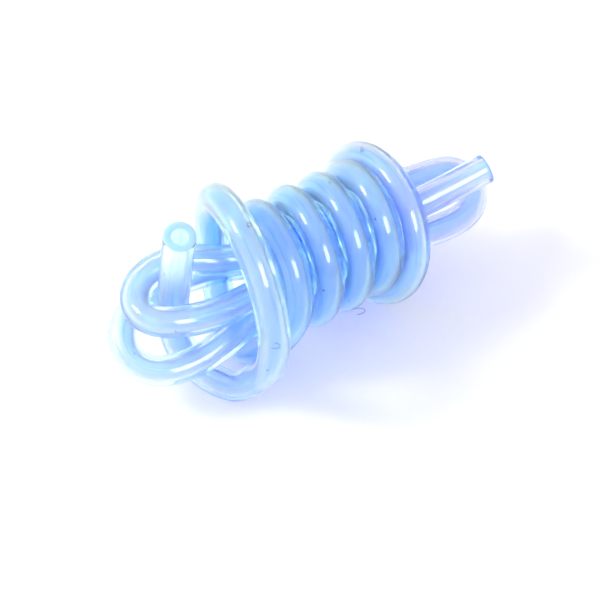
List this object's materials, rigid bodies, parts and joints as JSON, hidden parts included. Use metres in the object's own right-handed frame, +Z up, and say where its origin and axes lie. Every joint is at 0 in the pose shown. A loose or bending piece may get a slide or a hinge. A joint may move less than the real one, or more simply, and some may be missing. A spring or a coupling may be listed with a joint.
{
  "type": "silicone tubing coil",
  "caption": "Length of soft clear tube tied in a hank, looped at both ends and wrapped round itself, with two open cut ends.",
  "frame": {"origin": "on the floor, under the middle of the hank's bounding box", "axes": "+X along the hank, from its two front loops to its back loop and cut back end; +Z up from the floor it lies on"},
  "size_m": [0.0836, 0.0396, 0.0425],
  "materials": {
    "silicone": "translucent soft silicone with a satin skin and small gloss highlights"
  },
  "bodies": {
    "root": {"tubing": "silicone"}
  },
  "joints": []
}
